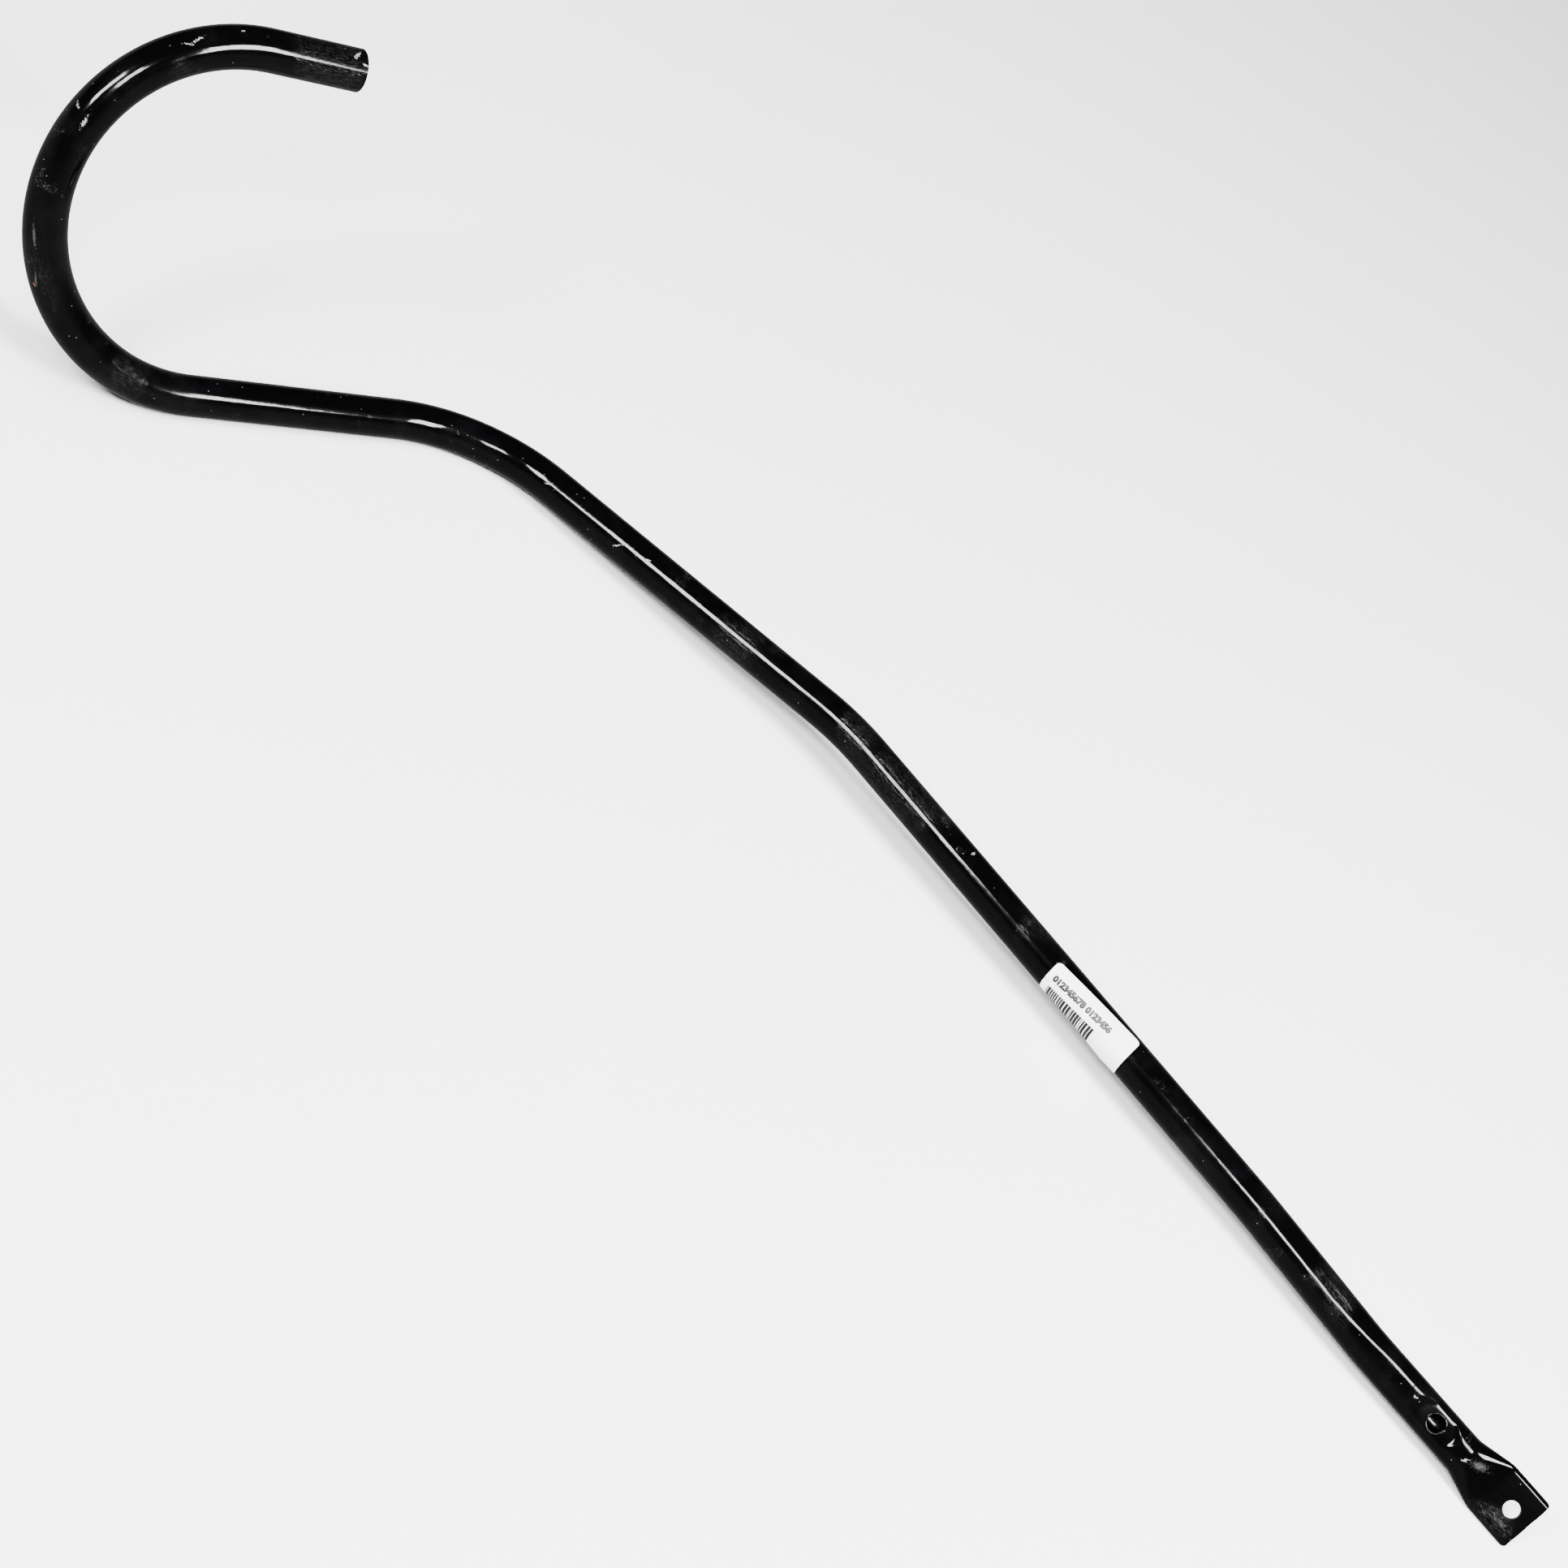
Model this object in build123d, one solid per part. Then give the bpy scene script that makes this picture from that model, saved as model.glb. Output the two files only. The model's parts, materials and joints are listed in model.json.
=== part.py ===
from build123d import *
import os
from math import cos, degrees, radians, sin, tan

# Bent steel handle tube with one flattened, bolted end and a paper parts label.
# Frame: origin at the centre of the bolt hole in the flattened end, +Z up with the
# handle lying on a floor, +X out past the flattened end, the hook far off towards -X.
# All lengths in mm, all angles in degrees.

# --- tube stock ---------------------------------------------------------------
TUBE_OD = 25.4
WALL = 1.65
TUBE_R = TUBE_OD / 2
BORE_R = TUBE_R - WALL

# --- how the handle lies --------------------------------------------------------
SHANK_SLOPE = 0.98      # the shank climbs this much away from the flattened end
FLAT_LEAN = 49.9        # the flat's face leans this far from level, towards -Y

# --- flattened end ----------------------------------------------------------------
FLAT_THICKNESS = 5.0
FLAT_WIDTH = 36.6
FLAT_LENGTH = 30.0
FLAT_CORNER_R = 2.5
TAPER_LENGTH = 22.0
BOLT_HOLE_R = 5.25
BOLT_HOLE_SETBACK = 12.7

# --- second hole, pressed pad and rolled lip ------------------------------------
HOLE_SPACING = 63.5
PAD_HEIGHT = 8.7        # pad floor above the tube's centreline
PAD_HALF_LENGTH = 8.0
PAD_HALF_WIDTH = 7.2
PAD_SHOULDER = 5.5      # how much wider the pad's mouth is than its floor
LIP_R = 0.7
LIP_SETBACK = 0.3       # flat ring left between the hole and its lip

# --- facet pressed along the shank's upper face --------------------------------
FACET_DEPTH = 2.4
FACET_LEAN = 8.0        # turned this far round the tube from the flat's face, to the low side
FACET_START = 26.0
FACET_END = 105.0
FACET_RUN_OUT = 33.0    # length over which it runs out to the round tube

# --- bends, from the flattened end to the open tip --------------------------------
SHANK_STRAIGHT = 113.6
KINK_1_ROLL = 44.4
KINK_1_RADIUS = 317.0
KINK_1_ANGLE = 2.7
LOWER_STRAIGHT = 88.0
KINK_2_ROLL = -178.5
KINK_2_RADIUS = 296.0
KINK_2_ANGLE = 1.8
LONG_STRAIGHT = 357.4
ELBOW_ROLL = 13.3
ELBOW_RADIUS = 237.0
ELBOW_ANGLE = 10.6
UPPER_STRAIGHT = 225.7
CRANK_ROLL = 33.1
CRANK_RADIUS = 115.2
CRANK_ANGLE = 56.5
ARM_STRAIGHT = 136.4
HOOK_ROLL = 107.5
HOOK_RADIUS = 106.8
HOOK_ANGLE = 181.7
TIP_STRAIGHT = 54.5

# --- parts label --------------------------------------------------------------------
LABEL_LENGTH = 69.0
LABEL_WIDTH = 32.0
LABEL_THICKNESS = 0.2
LABEL_CORNER_R = 3.0
LABEL_SKEW = 5.5        # the label is stuck on slightly crooked
LABEL_FAR = 181.6       # from the second kink to the label's far upper corner
LABEL_EDGE_ANGLE = 21.4  # that corner's angle from straight up, towards -Y


def bend_list():
    """Each bend as the straight before it, the roll of its plane, its radius and angle."""
    return [
        (SHANK_STRAIGHT, KINK_1_ROLL, KINK_1_RADIUS, KINK_1_ANGLE),
        (LOWER_STRAIGHT, KINK_2_ROLL, KINK_2_RADIUS, KINK_2_ANGLE),
        (LONG_STRAIGHT, ELBOW_ROLL, ELBOW_RADIUS, ELBOW_ANGLE),
        (UPPER_STRAIGHT, CRANK_ROLL, CRANK_RADIUS, CRANK_ANGLE),
        (ARM_STRAIGHT, HOOK_ROLL, HOOK_RADIUS, HOOK_ANGLE),
    ]


def shank_direction():
    """Unit vector from the bolt hole up the shank."""
    slope = radians(SHANK_SLOPE)
    return Vector(-cos(slope), 0, sin(slope))


def flat_normal():
    """Outward normal of the flat's upper face, square to the shank."""
    return square_up(shank_direction()).rotate(Axis((0, 0, 0), (1, 0, 0)), FLAT_LEAN)


def square_up(along):
    """The direction nearest to straight up that is square to a given one."""
    up = Vector(0, 0, 1)
    return (up - along * up.dot(along)).normalized()


def end_plane(station):
    """Section plane of the shank: x across the flat, y out of its face, z up the shank."""
    along = shank_direction()
    across = flat_normal().cross(along)
    return Plane(origin=along * station, x_dir=across, z_dir=along)


def face_plane(station):
    """Plane on the shank's centreline that looks out of the flat's face."""
    return Plane(origin=shank_direction() * station, x_dir=shank_direction(), z_dir=flat_normal())


def walk_tube(first_station):
    """Centreline edges of the round tube, and the axis of its long straight."""
    along = shank_direction()
    turn = square_up(along)
    here = along * first_station
    edges = []
    axes = []
    for straight, roll, radius, angle in bend_list():
        run = straight - first_station
        first_station = 0
        edges.append(Edge.make_line(here, here + along * run))
        axes.append((here, along))
        here = here + along * run
        turn = turn.rotate(Axis((0, 0, 0), along), roll)
        half = radians(angle / 2)
        full = radians(angle)
        middle = here + along * (radius * sin(half)) + turn * (radius * (1 - cos(half)))
        end = here + along * (radius * sin(full)) + turn * (radius * (1 - cos(full)))
        edges.append(Edge.make_three_point_arc(here, middle, end))
        old_along = along
        along = old_along * cos(full) + turn * sin(full)
        turn = turn * cos(full) - old_along * sin(full)
        here = end
    edges.append(Edge.make_line(here, here + along * TIP_STRAIGHT))
    return Wire(edges), axes


def round_tube(radius, past_tip):
    """Solid rod that follows the centreline from the taper to the tip."""
    start = TAPER_LENGTH + FLAT_LENGTH - BOLT_HOLE_SETBACK
    path, _ = walk_tube(start)
    rod = sweep(end_plane(start) * Circle(radius), path=path)
    if past_tip:
        tip = Plane(origin=path @ 1, z_dir=path % 1)
        rod += extrude(tip * Circle(radius), past_tip)
    return rod


def half_taper(side, radius, width, thickness, near, far):
    """One rounded side of the taper, from a flat slot's end to half of a circle."""
    edge_r = thickness / 2
    offset = side * (width / 2 - edge_r)
    slot_end = [
        Edge.make_line((offset, -edge_r, 0), (offset, edge_r, 0)),
        Edge.make_three_point_arc((offset, edge_r, 0), (offset + side * edge_r, 0, 0), (offset, -edge_r, 0)),
    ]
    circle_half = [
        Edge.make_line((0, -radius, 0), (0, radius, 0)),
        Edge.make_three_point_arc((0, radius, 0), (side * radius, 0, 0), (0, -radius, 0)),
    ]
    return Solid.make_loft([near * Wire(slot_end), far * Wire(circle_half)], ruled=True)


def taper_core(radius, width, thickness, near, far):
    """The wedge with the two flat triangles, between the taper's rounded sides."""
    edge_r = thickness / 2
    half = width / 2 - edge_r
    a, b, c, d = [near.from_local_coords(Vector(x, y, 0)) for x, y in
                  ((-half, -edge_r), (half, -edge_r), (half, edge_r), (-half, edge_r))]
    low = far.from_local_coords(Vector(0, -radius, 0))
    high = far.from_local_coords(Vector(0, radius, 0))
    loops = [(a, b, c, d), (a, b, low), (d, c, high), (b, c, high, low), (a, d, high, low)]
    faces = [Face(Wire.make_polygon(loop, close=True)) for loop in loops]
    return Solid(Shell(faces))


def tapered_end(radius, width, thickness, past_end):
    """The flattened end and the taper that blends it into the round tube."""
    cut = -BOLT_HOLE_SETBACK - past_end
    near = end_plane(FLAT_LENGTH - BOLT_HOLE_SETBACK)
    far = end_plane(FLAT_LENGTH - BOLT_HOLE_SETBACK + TAPER_LENGTH)
    flat = extrude(end_plane(cut) * SlotOverall(width, thickness), FLAT_LENGTH + past_end)
    body = flat + taper_core(radius, width, thickness, near, far)
    for side in (-1, 1):
        body += half_taper(side, radius, width, thickness, near, far)
    return body


def pad_press(lower, grow):
    """The shape pressed into the tube's face around the second hole."""
    plane = face_plane(HOLE_SPACING)
    floor = Ellipse(PAD_HALF_LENGTH + grow, PAD_HALF_WIDTH + grow)
    mouth = Ellipse(PAD_HALF_LENGTH + grow + PAD_SHOULDER, PAD_HALF_WIDTH + grow + PAD_SHOULDER)
    base = plane.offset(PAD_HEIGHT - lower)
    top = plane.offset(TUBE_R + 0.4 - lower)
    return loft([base * floor, top * mouth], ruled=True)


def facet_press(lower):
    """The shape pressed along the shank's face, from the taper to past the second hole."""
    along = shank_direction()
    facing = flat_normal().rotate(Axis((0, 0, 0), along), -FACET_LEAN)
    side_view = Plane(origin=(0, 0, 0), x_dir=along, z_dir=along.cross(facing))
    depth = TUBE_R - FACET_DEPTH - lower
    run_out = FACET_END + FACET_RUN_OUT
    outline = Polyline(
        (FACET_START, depth),
        (FACET_END, depth),
        (run_out, TUBE_R - lower),
        (run_out, 2 * TUBE_R),
        (FACET_START, 2 * TUBE_R),
        close=True,
    )
    return extrude(side_view * make_face(outline), TUBE_OD, both=True)


def rolled_lip():
    """Rounded rim around the second hole."""
    plane = face_plane(HOLE_SPACING).offset(PAD_HEIGHT)
    return plane * Torus(BOLT_HOLE_R + LIP_SETBACK + LIP_R, LIP_R)


def drill(station, bottom):
    """Straight drill from a height above the centreline outwards, square to the flat's face."""
    return face_plane(station).offset(bottom) * extrude(Circle(BOLT_HOLE_R), 2 * TUBE_OD)


def rounded_corners(body):
    """Trim the flattened end's two corners to a radius, seen square to its face."""
    length = 2 * FLAT_LENGTH
    centre = face_plane(length / 2 - BOLT_HOLE_SETBACK).offset(-TUBE_OD)
    plan = RectangleRounded(length, FLAT_WIDTH, FLAT_CORNER_R)
    keep = extrude(centre * plan, 2 * TUBE_OD)
    return body & keep


def handle_tube():
    """The whole bent tube: bore, flattened end, facet, pad, lip and both holes."""
    end = tapered_end(TUBE_R, FLAT_WIDTH, FLAT_THICKNESS, 0)
    stub = rounded_corners(end)
    outside = stub + round_tube(TUBE_R, 0)
    outside -= facet_press(0)
    outside -= pad_press(0, 0)
    inner_width = FLAT_WIDTH - 2 * WALL
    inner_thickness = FLAT_THICKNESS - 2 * WALL
    inside = tapered_end(BORE_R, inner_width, inner_thickness, 1.0)
    inside += round_tube(BORE_R, 1.0)
    inside -= facet_press(WALL)
    inside -= pad_press(WALL, 0.9)
    tube = outside - inside
    tube += rolled_lip()
    tube -= drill(0, -TUBE_OD)
    tube -= drill(HOLE_SPACING, 0)
    return tube


def label_plane():
    """Frame of the label: z down the tube towards the flat, x at its far upper corner."""
    _, axes = walk_tube(0)
    start, along = axes[2]
    edge = square_up(along).rotate(Axis((0, 0, 0), -along), LABEL_EDGE_ANGLE)
    return Plane(origin=start + along * LABEL_FAR, x_dir=edge, z_dir=-along)


def on_label(down, across, radius):
    """Point wrapped on the tube, from distances along the label's two edges."""
    skew = radians(LABEL_SKEW)
    height = down * cos(skew) + across * sin(skew)
    angle = (across * cos(skew) - down * sin(skew)) / TUBE_R
    return Vector(radius * cos(angle), radius * sin(angle), height)


def label_end_plane(down):
    """Slanted plane through one short edge of the label."""
    a = on_label(down, 0, TUBE_R)
    b = on_label(down, LABEL_WIDTH / 2, TUBE_R)
    c = on_label(down, LABEL_WIDTH, TUBE_R)
    return Plane(origin=a, x_dir=c - a, z_dir=(b - a).cross(c - a))


def corner_trim(down, across):
    """What is taken off one label corner to leave it rounded."""
    inward_down = LABEL_CORNER_R if down == 0 else -LABEL_CORNER_R
    inward_across = LABEL_CORNER_R if across == 0 else -LABEL_CORNER_R
    centre = on_label(down + inward_down, across + inward_across, TUBE_R - 1)
    outward = Vector(centre.X, centre.Y, 0)
    ahead = on_label(down + inward_down + 1, across + inward_across, TUBE_R - 1) - centre
    plane = Plane(origin=centre, x_dir=ahead, z_dir=outward)
    size = 2 * LABEL_CORNER_R
    side_x = -1 if down == 0 else 1
    side_y = -1 if across == 0 else 1
    square = Pos(side_x * size / 2, side_y * size / 2) * Rectangle(size, size)
    return extrude(plane * (square - Circle(LABEL_CORNER_R)), 2)


def barcode_label():
    """Thin paper label wrapped part of the way round the tube, slightly crooked."""
    skew = radians(LABEL_SKEW)
    height = LABEL_LENGTH * cos(skew) + LABEL_WIDTH * sin(skew)
    twist = -degrees(height * tan(skew) / TUBE_R)
    wrap = degrees(LABEL_WIDTH / cos(skew) / TUBE_R)
    ring = extrude(Circle(TUBE_R + LABEL_THICKNESS) - Circle(TUBE_R), height)
    slice_of_cake = Face(Wire([
        Edge.make_line((0, 0, 0), (2 * TUBE_R, 0, 0)),
        Edge.make_circle(2 * TUBE_R, Plane.XY, 0, wrap),
        Edge.make_line((2 * TUBE_R * cos(radians(wrap)), 2 * TUBE_R * sin(radians(wrap)), 0), (0, 0, 0)),
    ]))
    twisted = Solid.extrude_linear_with_rotation(slice_of_cake, (0, 0, 0), (0, 0, height), twist)
    label = ring & twisted
    label = split(label, bisect_by=label_end_plane(0), keep=Keep.TOP)
    label = split(label, bisect_by=label_end_plane(LABEL_LENGTH), keep=Keep.BOTTOM)
    for down in (0, LABEL_LENGTH):
        for across in (0, LABEL_WIDTH):
            label -= corner_trim(down, across)
    return label_plane() * label


def save(name, shape):
    """Write one named piece as its own STEP file."""
    shape.label = name
    export_step(shape, os.path.join("parts", name + ".step"))


os.makedirs("parts", exist_ok=True)
save("handle_tube", handle_tube())
save("barcode_label", barcode_label())
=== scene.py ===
import json
import math
import bmesh
import bpy
import numpy as np
from mathutils import Matrix, Vector


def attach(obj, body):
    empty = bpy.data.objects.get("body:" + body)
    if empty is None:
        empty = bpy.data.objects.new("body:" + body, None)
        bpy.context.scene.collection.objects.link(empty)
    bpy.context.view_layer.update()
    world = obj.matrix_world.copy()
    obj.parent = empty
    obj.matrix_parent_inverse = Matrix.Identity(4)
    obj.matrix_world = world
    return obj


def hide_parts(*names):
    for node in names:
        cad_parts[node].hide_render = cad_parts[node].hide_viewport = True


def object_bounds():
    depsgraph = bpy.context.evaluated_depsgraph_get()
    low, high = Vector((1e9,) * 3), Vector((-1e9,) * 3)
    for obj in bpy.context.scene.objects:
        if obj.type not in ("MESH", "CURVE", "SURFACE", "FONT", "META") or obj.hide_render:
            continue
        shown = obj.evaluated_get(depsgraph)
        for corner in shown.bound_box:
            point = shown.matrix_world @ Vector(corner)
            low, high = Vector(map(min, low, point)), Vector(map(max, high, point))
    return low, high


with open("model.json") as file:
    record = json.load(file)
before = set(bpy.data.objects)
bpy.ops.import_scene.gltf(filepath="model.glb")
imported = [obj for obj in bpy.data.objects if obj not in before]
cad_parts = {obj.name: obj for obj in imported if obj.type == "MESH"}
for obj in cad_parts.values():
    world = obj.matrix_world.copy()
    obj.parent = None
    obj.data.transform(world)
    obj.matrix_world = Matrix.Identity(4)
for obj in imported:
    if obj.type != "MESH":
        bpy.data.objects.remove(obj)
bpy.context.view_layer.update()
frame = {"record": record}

MM = 0.001
MOUNTS = {m["name"]: m for m in frame["record"]["mounts"]}

# tube stock and flattened end, in millimetres
TUBE_R = 12.7
WALL = 1.65
FLAT_H = 5.0
FLAT_W = 36.6
CUT = -12.7
TAPER_START = 17.3
TAPER_END = 39.3
HOLE_R = 5.25
HOLE_2 = 63.5
CORNER_R = 2.5
PAD_FLOOR = 8.7
PAD_REACH = 24.0
FACET_DEPTH = 2.45
FACET_END = 142.0
FACET_RUN_OUT = 44.0
FACET_LIMIT = 148.0
LIP_R = 0.62
RIM_ROUND = 0.25

# bends from the flattened end to the tip: straight, roll, radius, angle
BENDS = [
    (113.6, 44.4, 317.0, 2.7),
    (88.0, -178.5, 296.0, 1.8),
    (357.4, 13.3, 237.0, 10.6),
    (225.7, 33.1, 115.2, 56.5),
    (136.4, 107.5, 106.8, 181.7),
]
TIP_RUN = 54.5
SHANK_SLOPE = 0.98
AROUND = 128
UV_AROUND = 0.798   # once round the tube's outside, in decimetres


def unit(v):
    return v / np.linalg.norm(v)


def turned(v, axis, degrees):
    a = math.radians(degrees)
    return v * math.cos(a) + np.cross(axis, v) * math.sin(a) + axis * (axis @ v) * (1 - math.cos(a))


def shank_frame():
    """Direction up the shank, and the flat's normal made square to it."""
    slope = math.radians(SHANK_SLOPE)
    along = np.array([-math.cos(slope), 0.0, math.sin(slope)])
    axis = np.array(MOUNTS["end_bolt_hole"]["axis"])
    return along, unit(axis - (axis @ along) * along)


def centreline():
    """Stations with position, direction and carried normal, from the cut end to the tip."""
    along, normal = shank_frame()
    up = np.array([0.0, 0.0, 1.0])
    turn = unit(up - (up @ along) * along)
    here = np.zeros(3)
    rows = [(s, here + along * s, along, normal) for s in np.arange(CUT, 110.1, 0.85)]
    station = 0.0
    last = rows[-1][0]
    for straight, roll, radius, angle in BENDS:
        pitch = 3 if station < 200 else 14
        for d in np.linspace(0, straight, max(2, int(straight / pitch) + 1))[:-1]:
            if station + d > last + 4:
                rows.append((station + d, here + along * d, along, normal))
        station += straight
        here = here + along * straight
        turn = turned(turn, along, roll)
        binormal = np.cross(along, turn)
        start, start_along, start_turn, start_normal = here, along, turn, normal
        for a in np.linspace(0, angle, max(4, int(angle * math.pi / 180 * radius / 2.6)) + 1):
            r = math.radians(a)
            here = start + radius * (math.sin(r) * start_along + (1 - math.cos(r)) * start_turn)
            along = math.cos(r) * start_along + math.sin(r) * start_turn
            normal = turned(start_normal, binormal, a)
            rows.append((station + radius * r, here, along, normal))
        turn = turned(start_turn, binormal, angle)
        station += radius * math.radians(angle)
    for d in np.linspace(0, TIP_RUN, 8)[1:]:
        rows.append((station + d, here + along * d, along, normal))
    return rows


def ramp(x, lo, hi, soft):
    """Straight ramp from 0 to 1 with rounded ends."""
    def part(t):
        return 0.5 * (t + math.sqrt(t * t + soft * soft))
    return (part(x - lo) - part(x - hi)) / (hi - lo)


def smooth(x):
    x = min(max(x, 0.0), 1.0)
    return x * x * (3 - 2 * x)


def stadium(c, r, q):
    """Point on a stadium outline at a fraction of its length, from the bottom middle."""
    total = 4 * c + 2 * math.pi * r
    d = q * total
    if d < c:
        return -d, -r
    d -= c
    if d < math.pi * r:
        a = -math.pi / 2 - d / r
        return -c + r * math.cos(a), r * math.sin(a)
    d -= math.pi * r
    if d < 2 * c:
        return -c + d, r
    d -= 2 * c
    if d < math.pi * r:
        a = math.pi / 2 - d / r
        return c + r * math.cos(a), r * math.sin(a)
    d -= math.pi * r
    return c - d, -r


def facet_top(s, x):
    """Height of the slightly crowned facet pressed along the shank's upper face."""
    depth = FACET_DEPTH * smooth((FACET_END - s) / FACET_RUN_OUT)
    return TUBE_R - depth + 0.146 * x - x * x / 65 + 1.2 * smooth((s - 126.0) / 20.0)


def pad_top(s, x):
    """Height of the dished pad pressed around the second hole."""
    away = math.hypot((s - HOLE_2) / 1.4, x * 0.92)
    return PAD_FLOOR + 3.6 * smooth((away - 8.6) / 6.5)


def soft_min(a, b, k):
    return 0.5 * (a + b - math.sqrt((a - b) ** 2 + k * k))


def section(s, shrink):
    """Outline of the tube at one station, shrunk by the wall for the bore."""
    t = ramp(s, TAPER_START, TAPER_END, 1.6)
    t = min(max(t, 0.0), 1.0)
    if s > TAPER_END + 12:
        t = 1.0
    r = (1 - t) * FLAT_H / 2 + t * TUBE_R - shrink
    c = (1 - t) * (FLAT_W - FLAT_H) / 2
    points = []
    for i in range(AROUND):
        x, y = stadium(c, r, i / AROUND)
        if y > 0 and s < FACET_LIMIT:
            y = soft_min(y, facet_top(s, x) - shrink, 1.6)
        if y > 0 and abs(s - HOLE_2) < PAD_REACH:
            y = soft_min(y, pad_top(s, x) - shrink, 0.9)
        points.append((x, y))
    return points


def corner_station(s, x):
    """The flat's cut end, pulled back at its rounded corners and a little wavy."""
    reach = s - CUT
    if reach > 8:
        return s
    over = abs(x) - (FLAT_W / 2 - CORNER_R)
    back = CORNER_R - math.sqrt(max(CORNER_R ** 2 - over ** 2, 0.0)) if over > 0 else 0.0
    back += 0.12 + 0.1 * math.sin(x * 0.42 + 0.7)
    return CUT + back + reach * (8 - back) / 8


def shell_rows(shrink):
    """Rings of points for the outside or the bore."""
    rings = []
    for s, p, along, normal in centreline():
        side = np.cross(along, normal)
        ring = []
        for x, y in section(s, shrink):
            move = corner_station(s, x) - s if s < CUT + 9 else 0.0
            ring.append(p + along * move + side * x + normal * y)
        rings.append((s, ring))
    return rings


def lathe_mesh(name, rings, flip):
    """Quads between rings, with a UV of length along and distance around, in decimetres."""
    verts = [tuple(v * MM) for _, ring in rings for v in ring]
    faces = []
    uvs = []
    for i in range(len(rings) - 1):
        u0, u1 = rings[i][0] / 100, rings[i + 1][0] / 100
        for j in range(AROUND):
            k = (j + 1) % AROUND
            face = [i * AROUND + j, i * AROUND + k, (i + 1) * AROUND + k, (i + 1) * AROUND + j]
            w0, w1 = UV_AROUND * j / AROUND, UV_AROUND * (j + 1) / AROUND
            uv = [(u0, w0), (u0, w1), (u1, w1), (u1, w0)]
            if flip:
                face.reverse()
                uv.reverse()
            faces.append(face)
            uvs += uv
    mesh = bpy.data.meshes.new(name)
    mesh.from_pydata(verts, [], faces)
    layer = mesh.uv_layers.new(name="along")
    layer.data.foreach_set("uv", [c for uv in uvs for c in uv])
    return mesh


def tube_mesh():
    """Closed double-walled tube with rims at both ends, before the holes are cut."""
    outer = shell_rows(0.0)
    inner = shell_rows(WALL)
    rings = list(outer)
    # tip rim: rounded over by about a quarter of a millimetre each side
    s, p, along, normal = centreline()[-1]
    side = np.cross(along, normal)
    below = p - along * RIM_ROUND
    rings[-1] = (s - RIM_ROUND, [below + side * x + normal * y for x, y in section(s, 0.0)])
    rings.append((s, [p + side * x + normal * y for x, y in section(s, 0.22)]))
    rings.append((s + 1, [p + side * x + normal * y for x, y in section(s, WALL - 0.2)]))
    rings.append((s + 1.2, [below + side * x + normal * y for x, y in section(s, WALL)]))
    rings += reversed(inner[:-1])
    mesh = lathe_mesh("handle", rings, False)
    # close the loop at the flattened end
    last = (len(rings) - 1) * AROUND
    bm = bmesh.new()
    bm.from_mesh(mesh)
    bm.verts.ensure_lookup_table()
    for j in range(AROUND):
        k = (j + 1) % AROUND
        bm.faces.new([bm.verts[i] for i in (last + j, last + k, k, j)])
    bmesh.ops.recalc_face_normals(bm, faces=bm.faces)
    bm.to_mesh(mesh)
    bm.free()
    return mesh


def link(name, mesh):
    obj = bpy.data.objects.new(name, mesh)
    bpy.context.scene.collection.objects.link(obj)
    return obj


def drill(station, bottom, radius):
    """A cylinder out of the tube's face at a station, to cut a hole with."""
    along, normal = shank_frame()
    bpy.ops.mesh.primitive_cylinder_add(vertices=96, radius=radius * MM, depth=60 * MM)
    obj = bpy.context.object
    side = np.cross(normal, along)
    m = Matrix([[*r] for r in np.array([along, side, normal]).T]).to_4x4()
    place = along * station + normal * (bottom + 30)
    obj.matrix_world = Matrix.Translation(Vector(place * MM)) @ m
    return obj


def cut_holes(obj):
    """Cut both bolt holes and bake the result."""
    tools = [drill(0.0, -30.0, HOLE_R), drill(HOLE_2, 0.0, HOLE_R)]
    for tool in tools:
        mod = obj.modifiers.new("hole", "BOOLEAN")
        mod.operation = "DIFFERENCE"
        mod.solver = "EXACT"
        mod.object = tool
    bpy.context.view_layer.update()
    done = bpy.data.meshes.new_from_object(obj.evaluated_get(bpy.context.evaluated_depsgraph_get()))
    obj.modifiers.clear()
    obj.data = done
    for tool in tools:
        bpy.data.objects.remove(tool)


def ring_mesh(name, station, height, radius, minor):
    """Torus lying square to the flat's normal, for the rolled lip of a hole."""
    along, normal = shank_frame()
    side = np.cross(normal, along)
    verts, faces, uvs = [], [], []
    big, small = 96, 20
    for i in range(big):
        a = 2 * math.pi * i / big
        out = along * math.cos(a) + side * math.sin(a)
        for j in range(small):
            b = 2 * math.pi * j / small
            reach, rise = radius + minor * math.cos(b), height + minor * math.sin(b)
            v = along * station + out * reach + normal * rise
            verts.append(tuple(v * MM))
    for i in range(big):
        for j in range(small):
            a, b = i * small + j, i * small + (j + 1) % small
            c, d = ((i + 1) % big) * small + (j + 1) % small, ((i + 1) % big) * small + j
            faces.append((a, d, c, b))
            uvs += [(station / 100, 0.4)] * 4
    mesh = bpy.data.meshes.new(name)
    mesh.from_pydata(verts, [], faces)
    layer = mesh.uv_layers.new(name="along")
    layer.data.foreach_set("uv", [c for uv in uvs for c in uv])
    return mesh


# --- label ------------------------------------------------------------------------
LABEL_L = 69.0
LABEL_W = 32.0
LABEL_T = 0.2
LABEL_CORNER = 3.0
LABEL_SKEW = math.radians(5.5)
LABEL_FAR = 181.6
LABEL_EDGE = 21.4
INK_LIFT = 0.05
BARS_FROM, BARS_TO = 5.0, 42.0
BAR_TOP, BAR_FOOT = 15.7, 29.0
BAR_MODULE = 0.62
DIGITS_FROM, DIGITS_RUN = 4.2, 47.5
DIGITS_FOOT, DIGITS_HEIGHT = 11.9, 5.0


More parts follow.
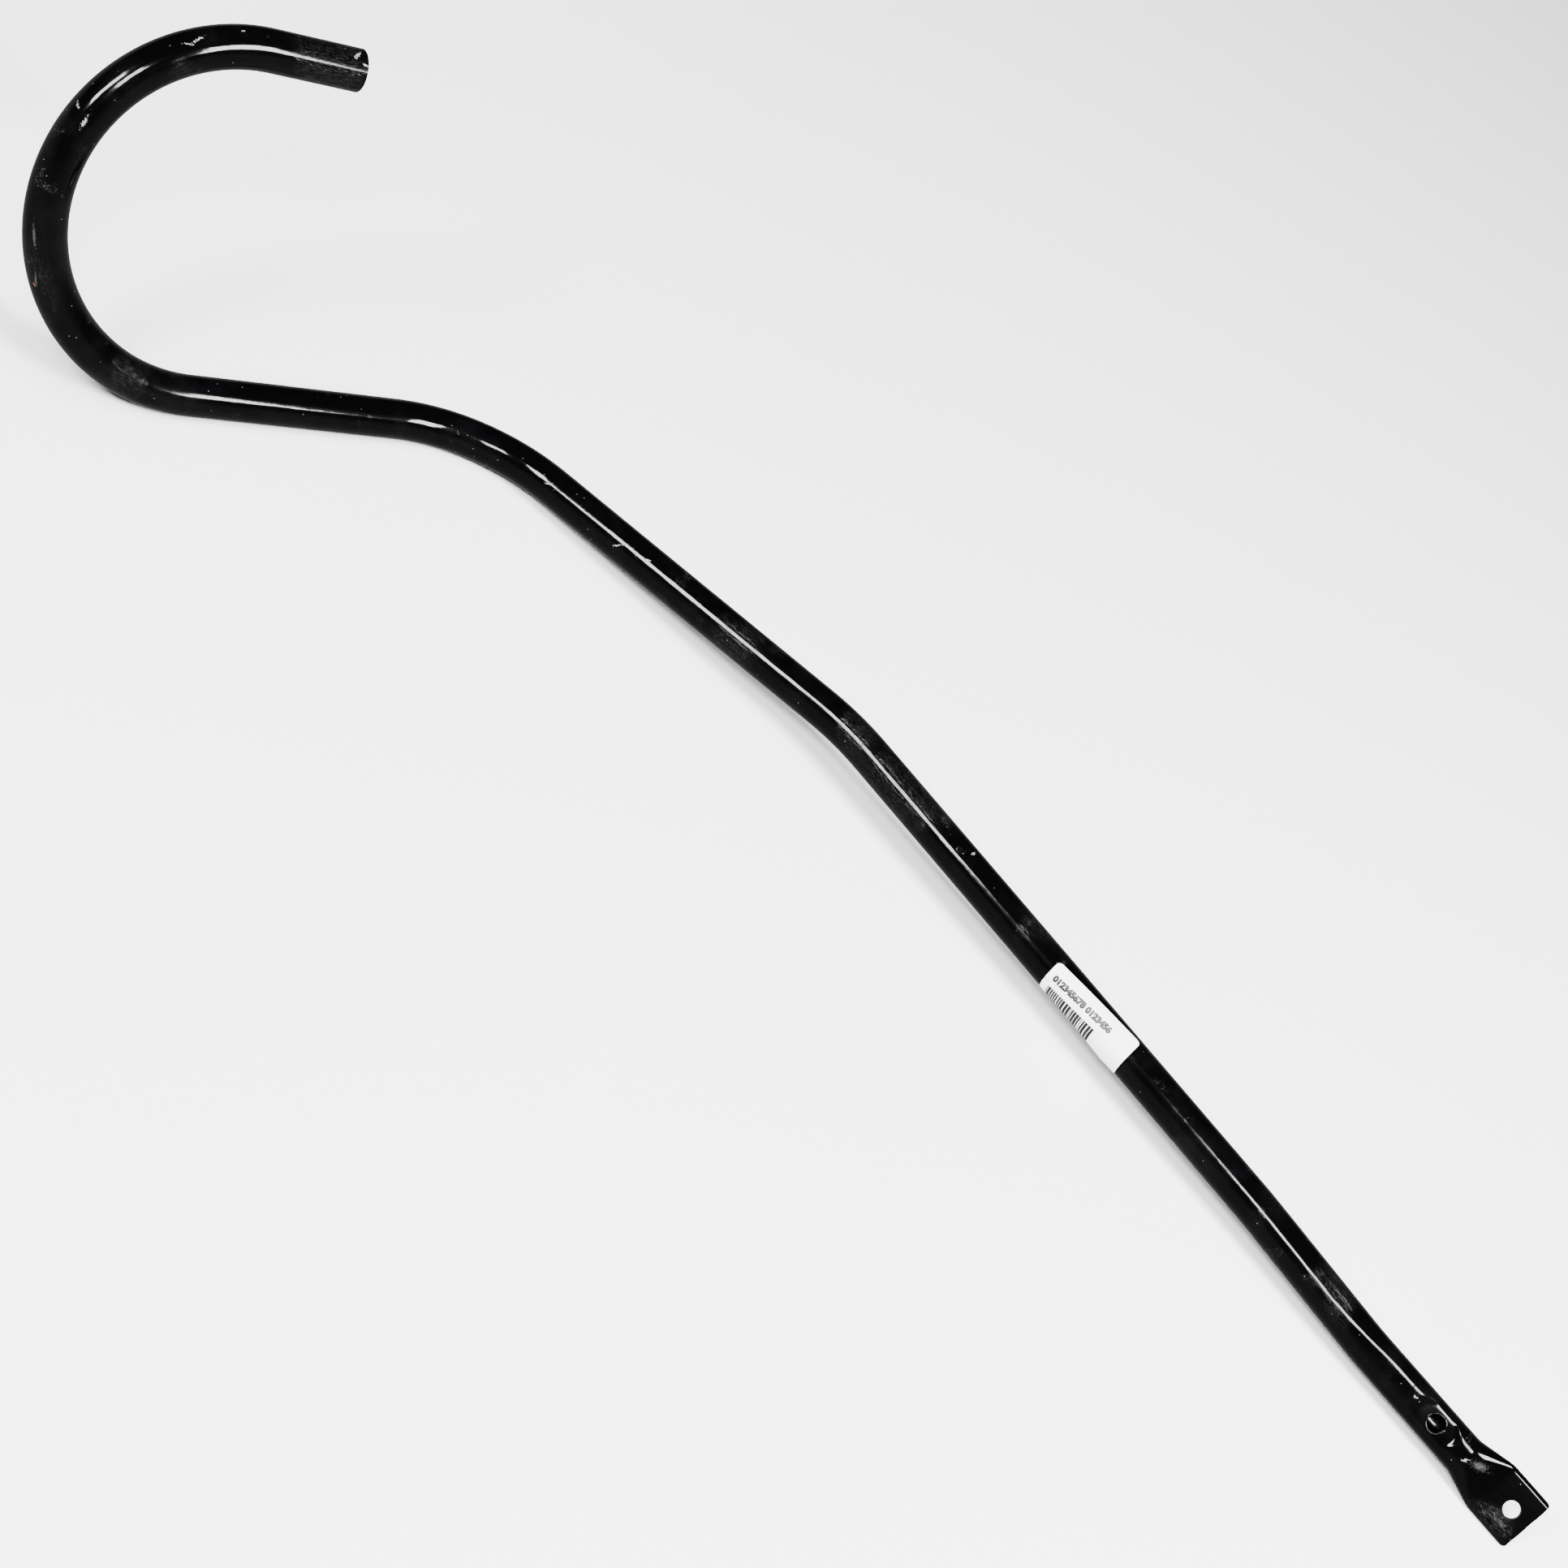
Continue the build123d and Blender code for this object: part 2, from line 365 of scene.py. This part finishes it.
def label_frame():
    """Origin on the tube axis, direction of the first corner, its square, and down the tube."""
    rows = centreline()
    start = sum(b[0] for b in BENDS[:2]) + sum(b[2] * math.radians(b[3]) for b in BENDS[:2])
    row = min(rows, key=lambda r: abs(r[0] - start))
    along = [r for r in rows if r[0] > start + 20][0][2]
    origin = row[1] + along * (start - row[0] + LABEL_FAR)
    up = np.array([0.0, 0.0, 1.0])
    up = unit(up - (up @ along) * along)
    down = -along
    edge = turned(up, down, LABEL_EDGE)
    return origin, edge, np.cross(down, edge), down


LABEL_FRAME = label_frame()


def on_label(u, v, lift):
    """Wrap a point of the flat label, in millimetres, on to the tube."""
    origin, edge, square, down = LABEL_FRAME
    height = u * math.cos(LABEL_SKEW) + v * math.sin(LABEL_SKEW)
    angle = (v * math.cos(LABEL_SKEW) - u * math.sin(LABEL_SKEW)) / TUBE_R
    r = TUBE_R + lift
    point = origin + down * height + edge * (r * math.cos(angle)) + square * (r * math.sin(angle))
    return tuple(point * MM)


def label_lift(u, v):
    """How far the paper has come off the tube, worst along its lower edge past the print."""
    loose = smooth((v - 24.0) / 8.0) * math.exp(-((u - 55.0) / 11.0) ** 2)
    bubble = 0.05 * math.exp(-((u - 8) / 5.0) ** 2 - ((v - 8) / 4.0) ** 2)
    return 0.55 * loose + bubble


def row_range(u):
    """Across-range of the label at u, narrower at its rounded corners."""
    from_end = min(u, LABEL_L - u)
    if from_end >= LABEL_CORNER:
        return 0.0, LABEL_W
    cut = LABEL_CORNER - math.sqrt(LABEL_CORNER ** 2 - (LABEL_CORNER - from_end) ** 2)
    return cut, LABEL_W - cut


def label_mesh():
    """Thin wrapped sheet with rounded corners."""
    ends = [0, 0.1, 0.35, 0.8, 1.4, 2.1, 3.0]
    us = ends + list(np.linspace(4, LABEL_L - 4, 62)) + [LABEL_L - e for e in reversed(ends)]
    across = 44
    verts, faces, uvs = [], [], []
    for layer_lift in (LABEL_T, 0.02):
        for u in us:
            lo, hi = row_range(u)
            for j in range(across + 1):
                v = lo + (hi - lo) * j / across
                verts.append(on_label(u, v, layer_lift + label_lift(u, v)))
    n = across + 1
    size = len(us) * n

    def flat(i, j):
        lo, hi = row_range(us[i])
        return us[i] / 100, (lo + (hi - lo) * j / across) / 100

    for i in range(len(us) - 1):
        for j in range(across):
            a, b, c, d = i * n + j, i * n + j + 1, (i + 1) * n + j + 1, (i + 1) * n + j
            quad = [flat(i, j), flat(i, j + 1), flat(i + 1, j + 1), flat(i + 1, j)]
            faces.append((a, b, c, d))
            uvs += quad
            faces.append((size + d, size + c, size + b, size + a))
            uvs += quad[::-1]
    loop = [i * n for i in range(len(us))] + [(len(us) - 1) * n + j for j in range(1, n)]
    loop += [i * n + across for i in range(len(us) - 2, -1, -1)] + [j for j in range(across - 1, 0, -1)]
    for k in range(len(loop)):
        a, b = loop[k], loop[(k + 1) % len(loop)]
        faces.append((a, b, size + b, size + a))
        uvs += [(0, 0)] * 4
    mesh = bpy.data.meshes.new("label")
    mesh.from_pydata(verts, [], faces)
    layer = mesh.uv_layers.new(name="along")
    layer.data.foreach_set("uv", [c for uv in uvs for c in uv])
    bm = bmesh.new()
    bm.from_mesh(mesh)
    bmesh.ops.recalc_face_normals(bm, faces=bm.faces)
    bm.to_mesh(mesh)
    bm.free()
    return mesh


def bars_mesh():
    """Printed bars: thin patches of ink wrapped over the label."""
    rng = np.random.default_rng(11)
    verts, faces = [], []
    u = BARS_FROM
    while u < BARS_TO:
        width = BAR_MODULE * rng.choice([1, 2, 2, 3])
        gap = BAR_MODULE * rng.choice([0.5, 0.6, 1.2])
        steps = 16
        base = len(verts)
        for j in range(steps + 1):
            v = BAR_TOP + (BAR_FOOT - BAR_TOP) * j / steps
            for du in (0.0, width):
                verts.append(on_label(u + du, v, LABEL_T + label_lift(u + du, v) + INK_LIFT))
        for j in range(steps):
            a = base + 2 * j
            faces.append((a, a + 2, a + 3, a + 1))
        u += width + gap
    mesh = bpy.data.meshes.new("bars")
    mesh.from_pydata(verts, [], faces)
    return mesh


def digits_mesh():
    """A row of plain digits, set in the built-in font and wrapped over the label."""
    curve = bpy.data.curves.new("digits", "FONT")
    curve.body = "012345678 0123456"
    curve.size = 1.0
    curve.resolution_u = 3
    curve.offset = 0.085
    text = bpy.data.objects.new("digits_flat", curve)
    bpy.context.scene.collection.objects.link(text)
    bpy.context.view_layer.update()
    flat = bpy.data.meshes.new_from_object(text.evaluated_get(bpy.context.evaluated_depsgraph_get()))
    bpy.data.objects.remove(text)
    bm = bmesh.new()
    bm.from_mesh(flat)
    bmesh.ops.triangulate(bm, faces=bm.faces)
    for k in range(1, 12):
        geom = bm.verts[:] + bm.edges[:] + bm.faces[:]
        bmesh.ops.bisect_plane(bm, geom=geom, plane_co=(0, -0.1 + k * 0.08, 0), plane_no=(0, 1, 0))
    xs = [v.co.x for v in bm.verts]
    ys = [v.co.y for v in bm.verts]
    width, height = max(xs) - min(xs), max(ys) - min(ys)
    for vert in bm.verts:
        u = DIGITS_FROM + (vert.co.x - min(xs)) / width * DIGITS_RUN
        v = DIGITS_FOOT - (vert.co.y - min(ys)) / height * DIGITS_HEIGHT
        vert.co = Vector(on_label(u, v, LABEL_T + label_lift(u, v) + INK_LIFT))
    bm.to_mesh(flat)
    bm.free()
    return flat


# --- materials ----------------------------------------------------------------------
class Shader:
    """Small helper that wires shader nodes."""

    def __init__(self, name):
        self.mat = bpy.data.materials.new(name)
        self.mat.use_nodes = True
        self.tree = self.mat.node_tree
        self.tree.nodes.clear()
        self.out = self.add("ShaderNodeOutputMaterial")
        self.bsdf = self.add("ShaderNodeBsdfPrincipled")
        self.tree.links.new(self.bsdf.outputs[0], self.out.inputs[0])

    def add(self, kind, **props):
        node = self.tree.nodes.new(kind)
        for key, value in props.items():
            setattr(node, key, value)
        return node

    def wire(self, source, node, socket):
        if isinstance(source, (int, float)):
            node.inputs[socket].default_value = source
        elif isinstance(source, tuple):
            node.inputs[socket].default_value = source
        else:
            self.tree.links.new(source, node.inputs[socket])

    def math(self, operation, a, b=0.0, clamp=False):
        node = self.add("ShaderNodeMath", operation=operation, use_clamp=clamp)
        self.wire(a, node, 0)
        self.wire(b, node, 1)
        return node.outputs[0]

    def vector(self, operation, a, b):
        node = self.add("ShaderNodeVectorMath", operation=operation)
        self.wire(a, node, 0)
        self.wire(b, node, 1)
        return node.outputs["Value"] if operation in ("LENGTH", "DISTANCE") else node.outputs[0]

    def noise(self, where, scale, detail=2.0, rough=0.5, distort=0.0):
        node = self.add("ShaderNodeTexNoise")
        self.wire(where, node, "Vector")
        node.inputs["Scale"].default_value = scale
        node.inputs["Detail"].default_value = detail
        node.inputs["Roughness"].default_value = rough
        node.inputs["Distortion"].default_value = distort
        return node.outputs["Fac"]

    def span(self, x, lo, hi, a=0.0, b=1.0):
        node = self.add("ShaderNodeMapRange", interpolation_type="SMOOTHSTEP")
        self.wire(x, node, "Value")
        for key, value in (("From Min", lo), ("From Max", hi), ("To Min", a), ("To Max", b)):
            node.inputs[key].default_value = value
        return node.outputs[0]

    def blend(self, fac, a, b):
        node = self.add("ShaderNodeMix", data_type="RGBA")
        self.wire(fac, node, 0)
        self.wire(a, node, 6)
        self.wire(b, node, 7)
        return node.outputs[2]

    def bump(self, height, strength, distance, normal=None):
        node = self.add("ShaderNodeBump")
        self.wire(height, node, "Height")
        node.inputs["Strength"].default_value = strength
        node.inputs["Distance"].default_value = distance
        if normal is not None:
            self.wire(normal, node, "Normal")
        return node.outputs[0]


# marks on the enamel: station mm, angle from the flat's normal, half length, half width, lean, kind
MARKS = [
    (1396.7, -68.0, 4.0, 0.9, 20, "chip"),
    (1391.0, -61.0, 2.4, 0.5, -30, "chip"),
    (1321.3, -43.5, 4.2, 1.1, 8, "chip"),
    (1325.6, -84.0, 2.6, 0.7, 60, "chip"),
    (1421.0, -80.0, 1.2, 0.5, 0, "chip"),
    (1252.7, -63.4, 9.0, 1.3, 5, "scuff"),
    (1228.7, -71.5, 6.0, 1.0, -10, "scuff"),
    (1225.8, -80.5, 1.4, 0.8, 0, "rust"),
    (852.8, -2.8, 3.2, 0.8, 30, "chip"),
    (791.7, -12.6, 4.5, 0.7, 45, "chip"),
    (780.0, 0.0, 5.5, 0.5, -35, "scuff"),
    (770.9, 8.2, 3.0, 0.6, 20, "chip"),
    (492.0, 45.5, 1.8, 1.0, 80, "chip"),
    (1489.0, -72.5, 3.6, 1.3, 50, "chip"),
    (1493.8, -49.9, 1.8, 1.0, 0, "chip"),
    (30.0, 12.0, 7.0, 3.4, 25, "scuff"),
    (38.0, -6.0, 2.2, 1.2, 60, "chip"),
    (82.0, 6.4, 1.6, 0.8, 0, "chip"),
]


def mark_masks(sh, uv, rough):
    """One mask for each kind of local mark, from its place along and around the tube."""
    masks = {"chip": 0.0, "scuff": 0.0, "rust": 0.0}
    for s, ang, half_l, half_w, lean, kind in MARKS:
        v = (ang + 180) / 360 * UV_AROUND
        shift = sh.vector("SUBTRACT", uv, (s / 100, v, 0))
        spin = sh.add("ShaderNodeVectorRotate", rotation_type="Z_AXIS")
        sh.wire(shift, spin, "Vector")
        spin.inputs["Angle"].default_value = math.radians(lean)
        stretch = sh.vector("MULTIPLY", spin.outputs[0], (100 / half_l, 100 / half_w, 0))
        far = sh.vector("LENGTH", stretch, (0, 0, 0))
        reach = sh.math("ADD", far, sh.math("MULTIPLY", rough, 5.0))
        masks[kind] = sh.math("MAXIMUM", masks[kind], sh.span(reach, 3.25, 2.85))
    return masks


def enamel():
    """Gloss black enamel with orange peel, drawn-tube waviness, dust, hairlines and chips."""
    sh = Shader("black_enamel_look")
    tex = sh.add("ShaderNodeTexCoord")
    uv, obj = tex.outputs["UV"], tex.outputs["Object"]
    fine = sh.noise(uv, 90.0, 3.0, 0.65)
    masks = mark_masks(sh, uv, fine)
    stretched = sh.vector("MULTIPLY", uv, (1.3, 22.0, 1.0))
    lines = sh.noise(stretched, 9.0, 3.0, 0.6, 0.3)
    near = sh.math("ABSOLUTE", sh.math("SUBTRACT", lines, 0.5))
    hair = sh.span(near, 0.012, 0.002)
    patchy = sh.span(sh.noise(obj, 17.0, 2.0), 0.56, 0.66)
    hair = sh.math("MULTIPLY", hair, patchy)
    cross_uv = sh.vector("MULTIPLY", uv, (16.0, 2.6, 1.0))
    cross = sh.math("ABSOLUTE", sh.math("SUBTRACT", sh.noise(cross_uv, 7.0, 2.0, 0.5, 0.6), 0.5))
    here_and_there = sh.span(sh.noise(obj, 60.0, 1.0), 0.66, 0.72)
    nicks = sh.math("MULTIPLY", sh.span(cross, 0.010, 0.002), here_and_there)
    cells = sh.add("ShaderNodeTexVoronoi")
    sh.wire(obj, cells, "Vector")
    cells.inputs["Scale"].default_value = 420.0
    pick = sh.add("ShaderNodeSeparateColor")
    sh.wire(cells.outputs["Color"], pick, 0)
    rare = sh.span(pick.outputs[0], 0.955, 0.965)
    dust = sh.math("MULTIPLY", sh.span(cells.outputs["Distance"], 0.16, 0.07), rare)
    haze = sh.span(sh.noise(obj, 35.0, 4.0, 0.6), 0.45, 0.75)

    black = sh.blend(haze, (0.0005, 0.0005, 0.0006, 1), (0.0014, 0.0014, 0.0016, 1))
    tint = sh.blend(sh.math("MULTIPLY", hair, 0.15), black, (0.16, 0.16, 0.165, 1))
    tint = sh.blend(sh.math("MULTIPLY", nicks, 0.12), tint, (0.2, 0.2, 0.2, 1))
    tint = sh.blend(sh.math("MULTIPLY", dust, 0.4), tint, (0.24, 0.24, 0.23, 1))
    rubbed = sh.math("MULTIPLY", masks["scuff"], sh.span(fine, 0.42, 0.6, 0.05, 0.55))
    tint = sh.blend(rubbed, tint, (0.14, 0.14, 0.145, 1))
    bare = sh.blend(fine, (0.09, 0.09, 0.095, 1), (0.34, 0.34, 0.35, 1))
    tint = sh.blend(masks["chip"], tint, bare)
    tint = sh.blend(masks["rust"], tint, (0.11, 0.045, 0.018, 1))
    sh.wire(tint, sh.bsdf, "Base Color")

    dulled = sh.math("MAXIMUM", masks["rust"], sh.math("MULTIPLY", masks["scuff"], 0.6))
    worn = sh.math("MAXIMUM", masks["chip"], dulled)
    rough = sh.span(haze, 0.0, 1.0, 0.075, 0.12)
    rough = sh.math("ADD", rough, sh.math("MULTIPLY", worn, 0.35))
    rough = sh.math("ADD", rough, sh.math("MULTIPLY", hair, 0.12))
    sh.wire(rough, sh.bsdf, "Roughness")
    sh.bsdf.inputs["IOR"].default_value = 1.29
    sh.bsdf.inputs["Coat Weight"].default_value = 0.0

    peel = sh.bump(sh.noise(obj, 420.0, 2.0, 0.5), 0.05, 0.0002)
    drawn = sh.noise(sh.vector("MULTIPLY", uv, (1.0, 3.0, 1.0)), 9.0, 2.0)
    wavy = sh.bump(drawn, 0.05, 0.001, peel)
    scratched = sh.math("ADD", sh.math("MULTIPLY", hair, 0.25), nicks)
    pits = sh.math("SUBTRACT", 1.0, sh.math("ADD", masks["chip"], scratched))
    sh.wire(sh.bump(pits, 0.6, 0.00012, wavy), sh.bsdf, "Normal")
    return sh.mat


def paper():
    """Semi-gloss white label stock, slightly soiled near one corner, with a painted shade line where it
    is creased.
    """
    sh = Shader("label_look")
    tex = sh.add("ShaderNodeTexCoord")
    uv, obj = tex.outputs["UV"], tex.outputs["Object"]
    soil = sh.noise(uv, 70.0, 4.0, 0.65, 1.2)
    corner = sh.vector("DISTANCE", uv, (0.06, 0.06, 0))
    spot = sh.math("MULTIPLY", sh.span(corner, 0.10, 0.02), sh.span(soil, 0.5, 0.62))
    cloud = sh.span(sh.noise(obj, 60.0, 3.0), 0.3, 0.8)
    white = sh.blend(cloud, (0.86, 0.86, 0.87, 1), (0.81, 0.81, 0.83, 1))
    tint = sh.blend(sh.math("MULTIPLY", spot, 0.45), white, (0.42, 0.42, 0.47, 1))
    split = sh.add("ShaderNodeSeparateXYZ")
    sh.wire(uv, split, 0)
    wobble = sh.math("MULTIPLY", sh.math("SUBTRACT", soil, 0.5), 0.01)
    off = sh.math("ABSOLUTE", sh.math("ADD", sh.math("SUBTRACT", split.outputs[1], 0.139), wobble))
    # painted shade: a thin darker line along the crease, drawn in the colour only, with no fold in the
    # sheet
    crease_shade = sh.math("MULTIPLY", sh.span(off, 0.005, 0.001), sh.span(split.outputs[0], 0.05, 0.03))
    tint = sh.blend(sh.math("MULTIPLY", crease_shade, 0.7), tint, (0.2, 0.2, 0.2, 1))
    speck = sh.math("MULTIPLY", sh.span(sh.noise(uv, 160.0, 1.0), 0.74, 0.78), 0.5)
    tint = sh.blend(speck, tint, (0.5, 0.5, 0.5, 1))
    sh.wire(tint, sh.bsdf, "Base Color")
    sh.bsdf.inputs["Roughness"].default_value = 0.38
    sh.bsdf.inputs["IOR"].default_value = 1.48
    sh.wire(sh.bump(sh.noise(obj, 900.0, 2.0), 0.08, 0.0001), sh.bsdf, "Normal")
    return sh.mat


def ink():
    sh = Shader("print_ink")
    tex = sh.add("ShaderNodeTexCoord")
    broken = sh.span(sh.noise(tex.outputs["Object"], 2400.0, 2.0), 0.60, 0.72)
    sh.wire(sh.blend(broken, (0.006, 0.006, 0.008, 1), (0.05, 0.05, 0.05, 1)), sh.bsdf, "Base Color")
    sh.bsdf.inputs["Roughness"].default_value = 0.45
    return sh.mat


def floor_look():
    sh = Shader("floor_look")
    tex = sh.add("ShaderNodeTexCoord")
    cloud = sh.noise(tex.outputs["Object"], 3.0, 3.0)
    sh.wire(sh.blend(cloud, (0.80, 0.80, 0.80, 1), (0.83, 0.83, 0.83, 1)), sh.bsdf, "Base Color")
    sh.bsdf.inputs["Roughness"].default_value = 0.75
    sh.bsdf.inputs["IOR"].default_value = 1.3
    return sh.mat


# --- the object ------------------------------------------------------------------------
def shade(obj, material, sharp=35):
    obj.data.materials.clear()
    obj.data.materials.append(material)
    obj.data.polygons.foreach_set("use_smooth", [True] * len(obj.data.polygons))
    obj.data.set_sharp_from_angle(angle=math.radians(sharp))


def join(parts, name):
    bpy.ops.object.select_all(action="DESELECT")
    for p in parts:
        p.select_set(True)
    bpy.context.view_layer.objects.active = parts[0]
    bpy.ops.object.join()
    parts[0].name = name
    return parts[0]


black = enamel()
handle = link("handle_skin", tube_mesh())
cut_holes(handle)
pad_floor = pad_top(HOLE_2, 0.0)
lip = link("lip", ring_mesh("lip", HOLE_2, pad_floor - 0.12, HOLE_R + LIP_R, LIP_R))
handle = join([handle, lip], "handle_skin")
shade(handle, black)
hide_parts("handle_tube")
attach(handle, "root")

label = link("label_sheet", label_mesh())
shade(label, paper(), 50)
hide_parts("barcode_label")
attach(label, "root")

black_ink = ink()
for name, mesh in (("label_bars", bars_mesh()), ("label_digits", digits_mesh())):
    printed = link(name, mesh)
    shade(printed, black_ink, 60)
    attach(printed, "root")

# --- studio ---------------------------------------------------------------------------------
low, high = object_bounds()
middle = (low + high) / 2
bpy.ops.mesh.primitive_plane_add(size=9.0, location=(middle.x, middle.y, low.z))
floor = bpy.context.object
floor.name = "floor"
floor.data.materials.append(floor_look())
floor.visible_glossy = False


def soft_box(name, place, aim, width, height, watts, glossy=True):
    """A rectangular lamp aimed at a point, hidden from the camera."""
    lamp = bpy.data.lights.new(name, "AREA")
    lamp.shape = "RECTANGLE"
    lamp.size = width
    lamp.size_y = height
    lamp.energy = watts
    obj = bpy.data.objects.new(name, lamp)
    obj.location = place
    obj.rotation_euler = (Vector(aim) - Vector(place)).to_track_quat("-Z", "Y").to_euler()
    obj.visible_glossy = glossy
    obj.visible_camera = False
    bpy.context.scene.collection.objects.link(obj)
    return obj


soft_box("left_box", (-1.22, -2.2, 2.05), (-0.75, 0.0, 0.0), 0.60, 0.80, 165.0)
soft_box("right_box", (0.16, -1.93, 2.32), (-0.05, 0.0, 0.0), 0.76, 0.52, 125.0)
soft_box("side_box", (1.2, -0.35, 2.0), (-0.9, -0.2, 0.0), 0.8, 0.95, 300.0)
soft_box("fill_top", (-0.5, -0.2, 2.6), (-0.5, -0.1, 0.0), 3.2, 2.4, 75.0, glossy=False)

sun = bpy.data.lights.new("even_light", "SUN")
sun.energy = 1.8
sun.angle = math.radians(40)
sun_obj = bpy.data.objects.new("even_light", sun)
sun_obj.rotation_euler = (math.radians(18), math.radians(-10), 0)
sun_obj.visible_glossy = False
bpy.context.scene.collection.objects.link(sun_obj)

world = bpy.data.worlds.new("room")
bpy.context.scene.world = world
world.use_nodes = True
tree = world.node_tree
back = tree.nodes["Background"]
coord = tree.nodes.new("ShaderNodeTexCoord")
parts = tree.nodes.new("ShaderNodeSeparateXYZ")
tree.links.new(coord.outputs["Generated"], parts.inputs[0])
fade = tree.nodes.new("ShaderNodeMapRange")
fade.inputs["From Min"].default_value = 0.0
fade.inputs["From Max"].default_value = 0.30
fade.inputs["To Min"].default_value = 0.42
fade.inputs["To Max"].default_value = 0.012
tree.links.new(parts.outputs[2], fade.inputs["Value"])
tree.links.new(fade.outputs[0], back.inputs["Color"])
back.inputs["Strength"].default_value = 1.0

# --- camera ---------------------------------------------------------------------------------
cam = bpy.data.cameras.new("camera")
cam.lens = 60.4
cam.sensor_width = 36.0
camera = bpy.data.objects.new("camera", cam)
camera.location = (-0.2259, -1.2297, 1.0422)
camera.rotation_euler = (math.radians(43.529), math.radians(-27.198), math.radians(43.235))
bpy.context.scene.collection.objects.link(camera)
bpy.context.scene.camera = camera
